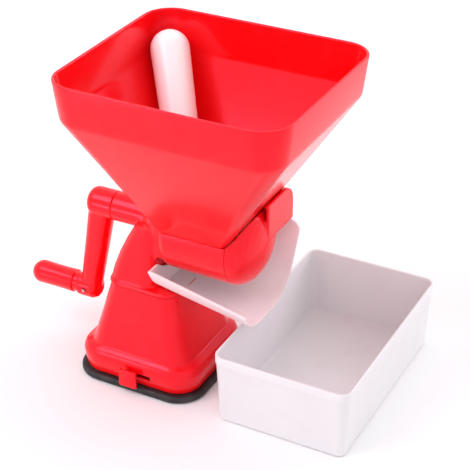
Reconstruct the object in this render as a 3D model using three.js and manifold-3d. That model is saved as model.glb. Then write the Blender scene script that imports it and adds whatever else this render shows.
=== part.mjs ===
// Table-top food mill with a hand crank: a paddle rotor presses fruit from the hopper through a
// perforated strainer, and the juice runs down a chute into a loose container.
// Millimetres, +Z up. The origin is the middle of the suction foot, on the table.
// +X runs along the crank shaft, from the crank to the chute's mouth, and +Y points to the back.
import * as THREE from "three";
import { mergeVertices } from "three/addons/utils/BufferGeometryUtils.js";
import Module from "manifold-3d";

const wasm = await Module();
wasm.setup();

// ---------------------------------------------------------------- driving dimensions

const GAP = 0.4; // between pieces that rest on or sit in each other
const RUN = 1.0; // beside turning pieces
const WALL = 2.8; // moulded red walls

const base = {
  width: 124,
  depth: 115,
  corner: 25,
  belly: 26, // height of the widest level above the table
  shoulder: 35,
  footWidth: 102,
  footDepth: 103,
  footCorner: 20,
  topWidth: 69,
  topDepth: 77,
  topCorner: 14,
  top: 97,
  shelf: 79, // underside of the shelf that the housing is screwed to
  shelfThickness: 3,
  bridge: 12.6, // underside of the bridge that the lever's ring bears on
  bridgeThickness: 3,
};

const FOOT_PROUD = 3; // foot beyond the skirt, all round

const foot = {
  width: base.width + 2 * FOOT_PROUD,
  depth: base.depth + 2 * FOOT_PROUD,
  corner: base.corner + FOOT_PROUD,
  height: 7,
  round: 1.5,
  lipWidth: 9,
  membrane: 3,
};

const HANDLE_GAP = 4.7; // between the skirt's widest level and the lever's handle

const lever = {
  ringRadius: 15,
  thickness: 6,
  armThickness: 3.6,
  armWidth: 11,
  reach: base.depth / 2 + HANDLE_GAP, // inner face of the handle, from the stud's axis
  handle: 3.2,
  handleWidth: 17.6,
  handleLow: 7.8,
  handleHigh: 25,
  swing: 12.5, // degrees towards +X, where the steep thread has drawn the stud up
  play: 1.4, // degrees beside the arm in its slot
};

const stud = { radius: 5, plateRadius: 27, plate: 2, top: 27, flat: 3.8 };

const shaft = { height: 157.4, radius: 4, start: -66, end: 104, segments: 16 };

const drum = { radius: 41, wall: 3, start: 21.5, end: 89, bore: 24.5, segments: 48, edge: 6 };

const neck = { left: -35.2, leftTop: -12, right: 13.5, depth: 74, topDepth: 58, corner: 12, wall: 3 };

const boss = { radius: 14, start: -42.6, bushLength: 16, bushRadius: 8 };

const flange = { proud: 1.3, height: 4, plugDepth: 12, plugWall: 3, cradle: 10, open: 14 };

const HOOD_PROUD = 9; // rear face of the hood beyond the drum
const HOOD_LAP = 0.2; // rear face of the hood beyond the chute

const screw = { radius: 2, headRadius: 3.8, head: 2.6, length: 13, boss: 5.2, x: 21, y: 25 };

const hood = {
  depth: drum.radius + HOOD_PROUD,
  low: 161,
  high: 196.5,
  corner: 15,
  wall: 3,
  end: 112,
  tongue: 5, // below the hood, in the chute's high wall
  tongueWall: 2.4,
};

const endCap = { reach: 22.5, wall: 3, hubRadius: 9, hubStart: 92, spigotWall: 2.4, bushRadius: 7 };

const window_ = { start: 28, end: 81, from: 12, to: 96 }; // degrees below the horizontal, at the rear

const strainer = { thickness: 0.8, start: 25.2, end: 83.4, rows: 7, columns: 8, hole: 1.6 };

const WIPE = 1.6; // between the paddles and the strainer

const rotor = {
  start: 30,
  end: 80,
  radius: drum.radius - drum.wall - GAP - strainer.thickness - WIPE,
  hub: 9.5,
  hubLonger: 2, // at each end
  blade: 3.6,
  blades: 4,
  twist: 50,
};

const hopper = {
  width: 218.6,
  depth: 196,
  corner: 28,
  centre: 58.3,
  top: 319.5,
  band: 36.8,
  bandInset: 4.2,
  wall: 2.8,
  throatCorner: 7,
  foot: 168,
  lip: 5,
  lipWall: 1.7,
  lipPast: 2.6, // of the lip's seat beyond the strainer's end
};

const crank = {
  end: -71.5,
  hubRadius: 14,
  hubRound: 8,
  throw: 97,
  topX: -58.6,
  bottomX: -76.8,
  topWidth: 25.5,
  topDepth: 22,
  bottomWidth: 20.5,
  bottomDepth: 17,
  crossRadius: 11.6,
  crossStart: -88,
  crossEnd: -66.5,
};

const grip = {
  radius: 11.2,
  length: 54.5,
  neck: 9.6,
  neckLength: 6,
  spindle: 3.5,
  spindleIn: 46.5, // of the spindle in the grip
  spindleHeld: 16, // of the spindle in the cross hub
};

const pin = { radius: 1.5, from: 9, proud: 1, groove: 0.6 };

const crankScrew = { radius: 2.4, headRadius: 4.4, head: 2.6, length: 12, sunk: 3 };

const chute = {
  start: 14.4,
  mouthLow: 107,
  mouthHigh: 121.5,
  startBottom: 99,
  mouthBottom: 78,
  wall: 2.2,
  front: 45,
  rear: hood.depth - HOOD_LAP,
  rise: 28,
  startPower: 3.4, // how boxy the front wall's curve is
  mouthPower: 2.4,
  rearTop: 160.4,
  rearCorner: 12,
  startRear: 47,
  mouthRear: 27,
  steps: 6,
};

const container = {
  width: 132,
  depth: 210.6,
  height: 70.4,
  corner: 11,
  wall: 2.6,
  floor: 2.8,
  draft: 4,
  x: 153.4,
  y: 42.6,
  rim: 9,
  rimProud: 0.9,
};

const pusher = {
  top: 18,
  foot: 15.4,
  length: 115.4,
  segments: 24,
  at: new THREE.Vector3(25.4, 8.3, 206), // middle of the foot's end face
  lean: new THREE.Vector3(-0.428, 0.535, 0.728).normalize(),
};

// ---------------------------------------------------------------- materials

const red = () => new THREE.MeshStandardMaterial({ color: 0xe8262a, roughness: 0.28 });
const white = () => new THREE.MeshStandardMaterial({ color: 0xf2f0ee, roughness: 0.35 });
const rubber = () => new THREE.MeshStandardMaterial({ color: 0x1c1214, roughness: 0.75 });
const steel = () => new THREE.MeshStandardMaterial({ color: 0xc6c8cc, roughness: 0.3, metalness: 1 });
const acetal = () => new THREE.MeshStandardMaterial({ color: 0xe9e4d8, roughness: 0.5 });

// ---------------------------------------------------------------- shape helpers

const radians = THREE.MathUtils.degToRad;
const mix = THREE.MathUtils.lerp;

// A closed solid from indexed triangles, turned to face outwards.
function solidFrom(positions, triangles) {
  const build = (list) =>
    new wasm.Manifold(
      new wasm.Mesh({
        numProp: 3,
        vertProperties: new Float32Array(positions),
        triVerts: new Uint32Array(list),
      }),
    );
  const made = build(triangles);
  if (made.volume() > 0) return made;
  const turned = [];
  for (let i = 0; i < triangles.length; i += 3)
    turned.push(triangles[i], triangles[i + 2], triangles[i + 1]);
  return build(turned);
}

// A closed solid from a three.js geometry, with its shared vertices merged.
function solid(geometry) {
  const bare = geometry.clone();
  for (const name of Object.keys(bare.attributes)) if (name !== "position") bare.deleteAttribute(name);
  const merged = mergeVertices(bare, 1e-4);
  const index = merged.index.array;
  const triangles = [];
  for (let i = 0; i < index.length; i += 3) {
    const [a, b, c] = [index[i], index[i + 1], index[i + 2]];
    if (a !== b && b !== c && c !== a) triangles.push(a, b, c);
  }
  return solidFrom(merged.attributes.position.array, triangles);
}

// A named mesh with its own material.
function piece(name, body, material) {
  const mesh = body.getMesh();
  const geometry = new THREE.BufferGeometry();
  geometry.setAttribute("position", new THREE.BufferAttribute(mesh.vertProperties, 3));
  geometry.setIndex(new THREE.BufferAttribute(mesh.triVerts, 1));
  geometry.computeVertexNormals();
  const made = new THREE.Mesh(geometry, material);
  made.name = name;
  return made;
}

// Rectangle with round corners, anticlockwise, as [a, b] pairs about a centre.
function roundRect(width, depth, corner, centreA = 0, centreB = 0, steps = 5) {
  const points = [];
  const radius = Math.min(corner, 0.49 * width, 0.49 * depth);
  const quarters = [
    [1, 1, 0],
    [-1, 1, 90],
    [-1, -1, 180],
    [1, -1, 270],
  ];
  for (const [signA, signB, start] of quarters)
    for (let i = 0; i <= steps; i++) {
      const angle = radians(start + (90 * i) / steps);
      points.push([
        centreA + signA * (width / 2 - radius) + radius * Math.cos(angle),
        centreB + signB * (depth / 2 - radius) + radius * Math.sin(angle),
      ]);
    }
  return points;
}

// Points of an arc, in degrees, both ends included.
function arc(radius, from, to, steps, centreA = 0, centreB = 0) {
  return Array.from({ length: steps + 1 }, (_, i) => {
    const angle = radians(mix(from, to, i / steps));
    return [centreA + radius * Math.cos(angle), centreB + radius * Math.sin(angle)];
  });
}

const vectors = (outline) => outline.map(([a, b]) => new THREE.Vector2(a, b));

// Solid skinned over outlines of equal length; place(a, b, level) gives a point's x, y and z.
function loft(sections, place) {
  const count = sections[0].outline.length;
  const clockwise = THREE.ShapeUtils.isClockWise(vectors(sections[0].outline));
  const rings = sections.map(({ outline, level }) => ({
    outline: clockwise ? outline.toReversed() : outline,
    level,
  }));
  const positions = [];
  for (const { outline, level } of rings)
    for (const [a, b] of outline) positions.push(...place(a, b, level));
  const triangles = [];
  for (let s = 0; s + 1 < sections.length; s++)
    for (let i = 0; i < count; i++) {
      const a = s * count + i;
      const b = s * count + ((i + 1) % count);
      triangles.push(a, b, b + count, a, b + count, a + count);
    }
  const cap = ({ outline }) => THREE.ShapeUtils.triangulateShape(vectors(outline), []);
  const last = (rings.length - 1) * count;
  for (const [a, b, c] of cap(rings[0])) triangles.push(c, b, a);
  for (const [a, b, c] of cap(rings.at(-1))) triangles.push(a + last, b + last, c + last);
  return solidFrom(positions, triangles);
}

const upright = (a, b, level) => [a, b, level]; // outlines in X and Y, levels along Z
const alongX = (a, b, level) => [level, a, b]; // outlines in Y and Z, levels along X

// Straight prism along Z or X.
const prism = (outline, from, to, place = upright) =>
  loft(
    [
      { outline, level: from },
      { outline, level: to },
    ],
    place,
  );

const box = (x, y, z) =>
  solid(
    new THREE.BoxGeometry(x[1] - x[0], y[1] - y[0], z[1] - z[0]).translate(
      (x[0] + x[1]) / 2,
      (y[0] + y[1]) / 2,
      (z[0] + z[1]) / 2,
    ),
  );

// Turned solid from a profile of [place along the axis, radius] pairs that starts and ends on the axis.
function turned(profile, segments) {
  return new THREE.LatheGeometry(
    profile.map(([along, radius]) => new THREE.Vector2(radius, along)),
    segments,
  );
}

// Turned about the crank shaft's axis, or about a line beside it at another height.
const turnedX = (profile, segments, height = shaft.height) =>
  solid(turned(profile, segments).rotateZ(-Math.PI / 2).translate(0, 0, height));

// Turned about an upright axis.
const turnedZ = (profile, segments, x = 0, y = 0) =>
  solid(turned(profile, segments).rotateX(Math.PI / 2).translate(x, y, 0));

const rodX = (from, to, radius, segments, height = shaft.height) =>
  turnedX(
    [
      [from, 0],
      [from, radius],
      [to, radius],
      [to, 0],
    ],
    segments,
    height,
  );

const rodZ = (from, to, radius, segments, x = 0, y = 0) =>
  turnedZ(
    [
      [from, 0],
      [from, radius],
      [to, radius],
      [to, 0],
    ],
    segments,
    x,
    y,
  );

const joined = (bodies) => bodies.reduce((sum, next) => sum.add(next));
const cut = (body, ...tools) => tools.reduce((left, tool) => left.subtract(tool), body);

// ---------------------------------------------------------------- suction foot

function suctionPad() {
  const side = (grow) => roundRect(foot.width + 2 * grow, foot.depth + 2 * grow, foot.corner + grow);
  const outer = loft(
    [
      { outline: side(-foot.round), level: 0 },
      { outline: side(0), level: foot.round },
      { outline: side(0), level: foot.height - foot.round },
      { outline: side(-foot.round), level: foot.height },
    ],
    upright,
  );
  return cut(outer, prism(side(-foot.lipWidth), -1, foot.height - foot.membrane));
}

const studFlats = (offset, low, high) =>
  [-1, 1].map((side) =>
    box(
      [side < 0 ? -2 * stud.radius : stud.flat + offset, side < 0 ? -stud.flat - offset : 2 * stud.radius],
      [-2 * stud.radius, 2 * stud.radius],
      [low, high],
    ),
  );

// Plate bonded to the pad's membrane, and a stud with two flats that keep it from turning.
function drawStud() {
  const low = foot.height + GAP;
  const body = turnedZ(
    [
      [low, 0],
      [low, stud.plateRadius],
      [low + stud.plate, stud.plateRadius],
      [low + stud.plate, stud.radius],
      [stud.top - 1, stud.radius],
      [stud.top, stud.radius - 1],
      [stud.top, 0],
    ],
    24,
  );
  return cut(body, ...studFlats(0, low + stud.plate, leverLow()));
}

const leverLow = () => base.bridge + base.bridgeThickness + GAP;
const leverHigh = () => leverLow() + lever.thickness;

// Arc in plan about the stud's axis, measured from the front towards +X.
const frontArc = (radius, from, to, steps) => arc(radius, from - 90, to - 90, steps);

// Ring about the stud, arm to the front and a curved handle over the edge of the foot.
function suctionLever() {
  const half = THREE.MathUtils.radToDeg(lever.handleWidth / 2 / lever.reach);
  const handle = prism(
    [
      ...frontArc(lever.reach + lever.handle, -half, half, 4),
      ...frontArc(lever.reach, half, -half, 4),
    ],
    lever.handleLow,
    lever.handleHigh,
  );
  const arm = box(
    [-lever.armWidth / 2, lever.armWidth / 2],
    [-lever.reach - 1, 2 - lever.ringRadius],
    [leverLow(), leverLow() + lever.armThickness],
  );
  const ring = rodZ(leverLow(), leverHigh(), lever.ringRadius, 24);
  const hole = rodZ(leverLow() - 1, leverHigh() + 1, stud.radius + GAP, 24);
  return cut(joined([ring, arm, handle]), hole);
}

// ---------------------------------------------------------------- base

// Outer skin of the skirt and column, drawn in by an inset on every side.
function baseBody(inset, bottom, top) {
  const at = (width, depth, corner, level) => ({
    outline: roundRect(width - 2 * inset, depth - 2 * inset, Math.max(corner - inset, 2)),
    level,
  });
  return loft(
    [
      at(base.width - 5, base.depth - 5, base.corner - 2, bottom),
      at(base.width - 1, base.depth - 1, base.corner, mix(bottom, base.belly, 0.6)),
      at(base.width, base.depth, base.corner, base.belly),
      at(base.width - 5, base.depth - 4, base.corner - 2, mix(base.belly, base.shoulder, 0.6)),
      at(base.footWidth, base.footDepth, base.footCorner, base.shoulder),
      at(base.topWidth, base.topDepth, base.topCorner, top),
    ],
    upright,
  );
}

const screwPlaces = () =>
  [
    [-1, -1],
    [-1, 1],
    [1, -1],
    [1, 1],
  ].map(([sx, sy]) => [sx * screw.x, sy * screw.y]);

function baseShell() {
  const bottom = foot.height + GAP;
  const outer = baseBody(0, bottom, base.top);
  const hollow = baseBody(WALL, bottom - 1, base.top + 1);
  const shell = cut(outer, hollow);
  const shelf = box(
    [-base.width, base.width],
    [-base.depth, base.depth],
    [base.shelf, base.shelf + base.shelfThickness],
  );
  const bridge = box(
    [-base.width, base.width],
    [-stud.plateRadius, stud.plateRadius],
    [base.bridge, base.bridge + base.bridgeThickness],
  );
  const armAngle = THREE.MathUtils.radToDeg(lever.armWidth / base.depth) + lever.play;
  const slot = prism(
    [
      ...frontArc(base.depth, -armAngle, lever.swing + armAngle, 6),
      ...frontArc(base.depth * 0.35, lever.swing + armAngle, -armAngle, 6),
    ],
    leverLow() - GAP,
    leverLow() + lever.armThickness + GAP,
  );
  const holes = screwPlaces().map(([x, y]) =>
    rodZ(base.shelf - 1, base.shelf + base.shelfThickness + 1, screw.radius + GAP, 12, x, y),
  );
  const bridgeTop = base.bridge + base.bridgeThickness;
  const studHole = cut(
    rodZ(base.bridge - 1, bridgeTop + 1, stud.radius + GAP, 24),
    ...studFlats(GAP, base.bridge - 2, bridgeTop + 2),
  );
  return cut(
    joined([shell, shelf.intersect(outer), bridge.intersect(outer)]),
    slot,
    studHole,
    ...holes,
    chuteEnvelope(),
  );
}

// ---------------------------------------------------------------- chute

// Outline of the scoop in Y and Z at a share of its length, moved outwards by an offset.
function chuteOutline(share, offset, top) {
  const low = mix(chute.startBottom, chute.mouthBottom, share) - offset;
  const turn = mix(chute.startRear, chute.mouthRear, share) + offset;
  const rear = chute.rear + offset;
  const front = chute.front + offset;
  const power = mix(chute.startPower, chute.mouthPower, share);
  const frontCurve = Array.from({ length: 9 }, (_, i) => {
    const part = 1 - i / 9;
    return [-front * part, low + chute.rise * part ** power];
  });
  const corner = arc(turn, 270, 360, 6, rear - turn, low + turn);
  return [...frontCurve, [rear - turn - 1e-3, low], ...corner.slice(1), [rear, top]];
}

// Place along X of a point of the mouth or the start at a height: the mouth is cut across the slope.
function chutePlace(share, height) {
  const rise = (height - chute.mouthBottom) / (chute.rearTop - chute.mouthBottom);
  const mouth = mix(chute.mouthLow, chute.mouthHigh, Math.min(Math.max(rise, 0), 1));
  return mix(chute.start, mouth, share);
}

const chuteStations = () => Array.from({ length: chute.steps + 1 }, (_, i) => i / chute.steps);

// Thin scoop: the outer outline forwards and the inner one back.
function chuteShell() {
  const sections = chuteStations().map((share) => {
    const outer = chuteOutline(share, 0, chute.rearTop);
    const inner = chuteOutline(share, -chute.wall, chute.rearTop);
    return { outline: [...outer, ...inner.reverse()], level: share };
  });
  const scoop = loft(sections, (a, b, share) => [chutePlace(share, b), a, b]);
  const endTop = chute.startBottom + chute.rise;
  const end = cut(
    prism(
      chuteOutline(0, -chute.wall / 2, chute.rearTop),
      chute.start,
      chute.start + chute.wall,
      alongX,
    ),
    box([0, chute.mouthHigh], [-chute.rear, chute.rear], [endTop, chute.rearTop + 1]),
    rodX(0, chute.mouthHigh, drum.radius + RUN, drum.segments),
  );
  const corner = cut(
    box(
      [chute.mouthHigh - chute.rearCorner, chute.mouthHigh + 1],
      [0, chute.rear + 1],
      [chute.rearTop - chute.rearCorner, chute.rearTop + 1],
    ),
    solid(
      new THREE.CylinderGeometry(chute.rearCorner, chute.rearCorner, 4 * chute.rear, 32).translate(
        chute.mouthHigh - chute.rearCorner,
        0,
        chute.rearTop - chute.rearCorner,
      ),
    ),
  );
  return cut(joined([scoop, end]), corner);
}

// Space that the chute takes on its way in along X, with a gap all round.
function chuteEnvelope() {
  const sections = chuteStations().map((share) => ({
    outline: chuteOutline(share, GAP, chute.rearTop + GAP),
    level: share,
  }));
  return loft(sections, (a, b, share) => [chutePlace(share, b) - (share ? 0 : GAP), a, b]);
}

// ---------------------------------------------------------------- housing

const hopperFoot = () => ({
  width: drum.end - drum.start + 1,
  depth: 2 * drum.radius - 2,
  centre: (drum.start + drum.end) / 2,
});

// Outline of the hopper's skin at its foot or higher, grown by an offset.
function hopperBody(offset, bottom, top) {
  const end = hopperFoot();
  const throat = roundRect(
    end.width + 2 * offset,
    end.depth + 2 * offset,
    hopper.throatCorner + Math.min(offset, 0) / 2,
    end.centre,
  );
  const rim = (inset, radius) =>
    roundRect(
      hopper.width - 2 * inset + 2 * offset,
      hopper.depth - 2 * inset + 2 * offset,
      radius + offset,
      hopper.centre,
    );
  return loft(
    [
      { outline: throat, level: bottom },
      { outline: rim(hopper.bandInset, hopper.corner - 2), level: hopper.top - hopper.band },
      { outline: rim(0, hopper.corner), level: top },
    ],
    upright,
  );
}

// Lip below the hopper's foot, inside the throat of the housing.
function lipOutline(offset) {
  return roundRect(
    strainer.end + hopper.lipPast - drum.bore - 2 * GAP + 2 * offset,
    2 * (drum.radius - drum.wall) - 2 * GAP + 2 * offset,
    4,
    (strainer.end + hopper.lipPast + drum.bore) / 2,
  );
}

// Everything the hopper needs free in the housing and the end cap.
function hopperEnvelope() {
  const skin = hopperBody(GAP, hopper.foot - GAP, hopper.top);
  const lip = prism(lipOutline(GAP), hopper.foot - hopper.lip - GAP, hopper.foot + 1);
  return joined([skin, lip]);
}

// Rear hood over the chute's high wall, as an outline in Y and Z.
function hoodOutline(inset, low) {
  const depth = hood.depth - inset;
  const high = hood.high - inset;
  return [
    [0, low],
    [depth, low],
    ...arc(hood.corner, 0, 90, 4, depth - hood.corner, high - hood.corner),
    [0, high],
  ];
}

// Swept neck between the flange and the drum, drawn in by an inset.
function neckBody(inset, low) {
  const at = (left, right, depth, level) => ({
    outline: roundRect(
      right - left - 2 * inset,
      depth - 2 * inset,
      neck.corner - inset / 2,
      (left + right) / 2,
    ),
    level,
  });
  const level = (share) => mix(flange0(), shaft.height, share);
  const left = (share) => mix(neck.left, neck.leftTop, share ** 1.5);
  const depth = (share) => mix(neck.depth, neck.topDepth, share);
  return loft(
    [
      at(neck.left, neck.right, neck.depth, low),
      ...[0.05, 0.25, 0.5, 0.75, 1].map((s) => at(left(s), neck.right, depth(s), level(s))),
    ],
    upright,
  );
}

const flange0 = () => base.top + GAP;

function housingBody() {
  const low = flange0();
  const high = low + flange.height;
  const plate = loft(
    [0, 0.3, 0.7, 1].map((share) => {
      const proud = share > 0.2 && share < 0.8 ? flange.proud : flange.proud / 3;
      return {
        outline: roundRect(base.topWidth + 2 * proud, base.topDepth + 2 * proud, base.topCorner),
        level: mix(low, high, share),
      };
    }),
    upright,
  );
  const plugSide = (inset) =>
    roundRect(
      base.topWidth - 2 * WALL - 2 * GAP - 2 * inset,
      base.topDepth - 2 * WALL - 2 * GAP - 2 * inset,
      base.topCorner - WALL,
    );
  const plug = cut(
    prism(plugSide(0), low - flange.plugDepth, low + 1),
    prism(plugSide(flange.plugWall), low - flange.plugDepth - 1, low),
  );
  const cradle = prism(
    roundRect(
      base.topWidth / 2,
      base.topDepth - 2 * WALL - 2 * GAP,
      base.topCorner - WALL,
      base.topWidth / 4 - WALL - GAP,
    ),
    low - flange.cradle,
    low + 1,
  );
  const bosses = screwPlaces().map(([x, y]) =>
    rodZ(base.shelf + base.shelfThickness + GAP, low + 1, screw.boss, 16, x, y),
  );
  return joined([plate, plug, cradle, ...bosses]);
}

// Half shell of the drum, the plate behind it and the round end of the neck.
function drumBody() {
  const shellOuter = turnedX(
    [
      [drum.start, 0],
      [drum.start, drum.radius - drum.edge],
      [drum.start + drum.edge * 0.3, drum.radius - drum.edge * 0.3],
      [drum.start + drum.edge, drum.radius],
      [drum.end, drum.radius],
      [drum.end, 0],
    ],
    drum.segments,
  );
  const head = turnedX(
    [
      ...arc(neck.topDepth / 2, 180, 90, 6, drum.start - 2),
      [drum.start + 1, neck.topDepth / 2],
      [drum.start + 1, 0],
    ],
    drum.segments,
  );
  const link = box(
    [neck.right - 2, drum.start + 1],
    [-neck.topDepth / 2 + 1, neck.topDepth / 2 - 1],
    [chute.startBottom + chute.rise + 3, shaft.height],
  );
  return joined([shellOuter, head, link]);
}

function housing() {
  const bore = drum.radius - drum.wall;
  const chamber = rodX(drum.bore, drum.end + 1, bore, drum.segments);
  const rear = prism(hoodOutline(0, hood.low), drum.start, drum.end, alongX);
  const tongue = box(
    [drum.start, drum.end],
    [
      hood.depth - hood.wall - GAP - 2 * hood.tongueWall,
      hood.depth - hood.wall - GAP - hood.tongueWall,
    ],
    [hood.low - hood.tongue, hood.low + 4],
  );
  const pocket = cut(
    prism(hoodOutline(hood.wall, hood.low - 1), drum.start + 3, drum.end - 3, alongX),
    rodX(drum.start, drum.end, drum.radius, drum.segments),
  );
  const tube = rodX(boss.start, drum.start, boss.radius, 32);
  const juice = prism(
    [
      [0, shaft.height],
      ...arc(drum.radius + 12, -window_.from, -window_.to, 8, 0, shaft.height),
    ],
    window_.start,
    window_.end,
    alongX,
  );
  const shaftHole = rodX(boss.start - 1, drum.bore + 1, shaft.radius + RUN, shaft.segments);
  const bushSeat = rodX(boss.start - 1, boss.start + boss.bushLength, boss.bushRadius, 24);
  const sealSeat = rodX(drum.bore - 5, drum.bore + 1, boss.bushRadius, 24);
  const screwHoles = screwPlaces().map(([x, y]) =>
    rodZ(base.shelf, base.shelf + screw.length + 2, screw.radius + GAP, 12, x, y),
  );
  const hollow = cut(
    joined([
      neckBody(neck.wall, flange0() + flange.height),
      box(
        [-flange.open, neck.right - 2 * neck.wall],
        [-flange.open, flange.open],
        [flange0() - 1, flange0() + flange.height + 1],
      ),
    ]),
    box([neck.left, neck.right], [-neck.depth, neck.depth], [shaft.height - boss.radius - 3, shaft.height]),
  );
  const skin = cut(
    joined([housingBody(), neckBody(0, flange0() + 1), drumBody(), rear]),
    chamber,
    pocket,
    hollow,
  );
  return cut(
    joined([skin, tube, tongue]),
    juice,
    shaftHole,
    bushSeat,
    sealSeat,
    hopperEnvelope(),
    chuteEnvelope(),
    ...screwHoles,
  );
}

function housingScrew(x, y) {
  const top = base.shelf - GAP;
  return turnedZ(
    [
      [top - screw.head, 0],
      [top - screw.head, screw.headRadius - 1],
      [top - screw.head + 1, screw.headRadius],
      [top, screw.headRadius],
      [top, screw.radius],
      [top + screw.length, screw.radius],
      [top + screw.length, 0],
    ],
    12,
    x,
    y,
  );
}

// ---------------------------------------------------------------- strainer, rotor and end cap

// Lower half shell of perforated sheet, lying in the drum.
function strainerShell() {
  const outerRadius = drum.radius - drum.wall - GAP;
  const innerRadius = outerRadius - strainer.thickness;
  const sheet = prism(
    [
      ...arc(outerRadius, -176, -4, 28, 0, shaft.height),
      ...arc(innerRadius, -4, -176, 28, 0, shaft.height),
    ],
    strainer.start,
    strainer.end,
    alongX,
  );
  const holes = [];
  for (let row = 0; row < strainer.rows; row++)
    for (let column = 0; column < strainer.columns; column++) {
      const angle = -mix(window_.from + 6, window_.to - 6, row / (strainer.rows - 1));
      const x = mix(window_.start + 4, window_.end - 4, column / (strainer.columns - 1));
      const drill = new THREE.CylinderGeometry(strainer.hole, strainer.hole, 6, 6);
      drill.translate(0, innerRadius, 0).rotateX(radians(angle)).translate(x, 0, shaft.height);
      holes.push(solid(drill));
    }
  return cut(sheet, ...holes);
}

// Hub with twisted paddles that wipe the strainer.
function paddleRotor() {
  const half = rotor.blade / 2;
  const star = (turn) => {
    const points = [];
    for (let i = 0; i < rotor.blades; i++) {
      const angle = radians(turn + (360 * i) / rotor.blades);
      const [c, s] = [Math.cos(angle), Math.sin(angle)];
      for (const [along, across] of [
        [rotor.hub, -half],
        [rotor.radius, -half],
        [rotor.radius, half],
        [rotor.hub, half],
      ])
        points.push([along * c - across * s, shaft.height + along * s + across * c]);
    }
    return points;
  };
  const steps = 8;
  const sections = Array.from({ length: steps + 1 }, (_, i) => ({
    outline: star((rotor.twist * i) / steps),
    level: mix(rotor.start, rotor.end, i / steps),
  }));
  const hub = rodX(rotor.start - rotor.hubLonger, rotor.end + rotor.hubLonger, rotor.hub, 24);
  const hole = rodX(rotor.start - rotor.hubLonger - 1, rotor.end + rotor.hubLonger + 1, shaft.radius + GAP, shaft.segments);
  return cut(joined([loft(sections, alongX), hub]), hole);
}

// Rounded cap that closes the drum, with the hood's end and a hub for the shaft.
function drumCap() {
  const start = drum.end + GAP;
  const bulge = (radius, reach) =>
    Array.from({ length: 9 }, (_, i) => {
      const angle = radians((90 * i) / 8);
      return [start + reach * Math.sin(angle), radius * Math.cos(angle)];
    });
  const outer = turnedX([[start, 0], ...bulge(drum.radius, endCap.reach)], drum.segments);
  const reach = drum.radius - drum.wall - GAP;
  const inner = turnedX(
    [
      [start - 1, 0],
      [start - 1, reach - 1],
      ...bulge(reach - 1, endCap.reach - endCap.wall),
    ],
    drum.segments,
  );
  const rear = prism(hoodOutline(0, hood.low), start, hood.end, alongX);
  const rearPocket = prism(hoodOutline(hood.wall, hood.low - 1), start - 1, hood.end - hood.wall, alongX);
  const spigot = cut(
    rodX(strainer.end + GAP, start + 1, reach, drum.segments),
    rodX(strainer.end, start + 2, reach - endCap.spigotWall, drum.segments),
  );
  const hub = rodX(endCap.hubStart, drum.end + endCap.reach - 1, endCap.hubRadius, 24);
  const bushSeat = rodX(endCap.hubStart - 1, shaft.end + 2, endCap.bushRadius, 24);
  return cut(
    joined([cut(joined([outer, cut(rear, rearPocket)]), inner), spigot, hub]),
    bushSeat,
    hopperEnvelope(),
    box([start - 8, start], [-drum.radius, drum.radius], [hopper.foot - hopper.lip - GAP, hood.high]),
  );
}

const ringX = (from, to, outerRadius, innerRadius) =>
  cut(
    rodX(from, to, outerRadius, 24),
    rodX(from - 1, to + 1, innerRadius, shaft.segments),
  );

// ---------------------------------------------------------------- hopper

function hopperShell() {
  const outer = hopperBody(0, hopper.foot, hopper.top);
  const inner = hopperBody(-hopper.wall, hopper.foot, hopper.top);
  const throat = prism(lipOutline(-hopper.lipWall), hopper.foot - hopper.lip - 1, hopper.foot + 0.5);
  const lip = prism(lipOutline(0), hopper.foot - hopper.lip, hopper.foot + 0.4);
  const above = prism(
    roundRect(2 * hopper.width, 2 * hopper.depth, 10, hopper.centre),
    hopper.foot,
    hopper.top + 5,
  );
  return cut(joined([cut(outer, inner.intersect(above)), lip]), throat);
}

function pusherRod() {
  const round = Array.from({ length: 8 }, (_, i) => {
    const angle = radians((90 * i) / 7);
    return [pusher.length + pusher.top * Math.sin(angle), pusher.top * Math.cos(angle)];
  });
  const profile = [[0, 0], [0, pusher.foot - 2], [2, pusher.foot], ...round];
  const turn = new THREE.Quaternion().setFromUnitVectors(new THREE.Vector3(0, 1, 0), pusher.lean);
  const rod = turned(profile, pusher.segments).applyQuaternion(turn);
  return solid(rod.translate(pusher.at.x, pusher.at.y, pusher.at.z));
}

// ---------------------------------------------------------------- crank

const gripHeight = () => shaft.height - crank.throw;
const crankHubEnd = () => boss.start - GAP;

function crankArm() {
  const hub = turnedX(
    [
      [crank.end, 0],
      ...arc(crank.hubRound, 180, 90, 5, crank.end + crank.hubRound, crank.hubRadius - crank.hubRound),
      [crankHubEnd(), crank.hubRadius],
      [crankHubEnd(), 0],
    ],
    32,
  );
  const sections = Array.from({ length: 6 }, (_, i) => {
    const share = i / 5;
    const width = mix(crank.bottomWidth, crank.topWidth, share);
    const depth = mix(crank.bottomDepth, crank.topDepth, share);
    return {
      outline: roundRect(width, depth, depth * 0.42, mix(crank.bottomX, crank.topX, share), 0, 4),
      level: mix(gripHeight(), shaft.height, share),
    };
  });
  const cross = turnedX(
    [
      [crank.crossStart, 0],
      [crank.crossStart, crank.crossRadius],
      [crank.crossEnd - 6, crank.crossRadius],
      [crank.crossEnd - 1.6, crank.crossRadius - 2.4],
      [crank.crossEnd, crank.crossRadius - 6],
      [crank.crossEnd, 0],
    ],
    28,
    gripHeight(),
  );
  const shaftSocket = rodX(shaft.start - GAP, crankHubEnd() + 1, shaft.radius + GAP, shaft.segments);
  const screwSeat = crank.end + crankScrew.sunk;
  const screwHole = joined([
    rodX(crank.end - 1, screwSeat, crankScrew.headRadius + GAP, 16),
    rodX(screwSeat - 1, shaft.start, crankScrew.radius + GAP, 12),
  ]);
  const spindleHole = rodX(
    crank.crossStart - 1,
    gripInnerEnd() + GAP,
    grip.spindle + GAP,
    16,
    gripHeight(),
  );
  const pinHole = retainingPin(GAP, 2);
  return cut(joined([hub, loft(sections, upright), cross]), shaftSocket, screwHole, spindleHole, pinHole);
}

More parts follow.
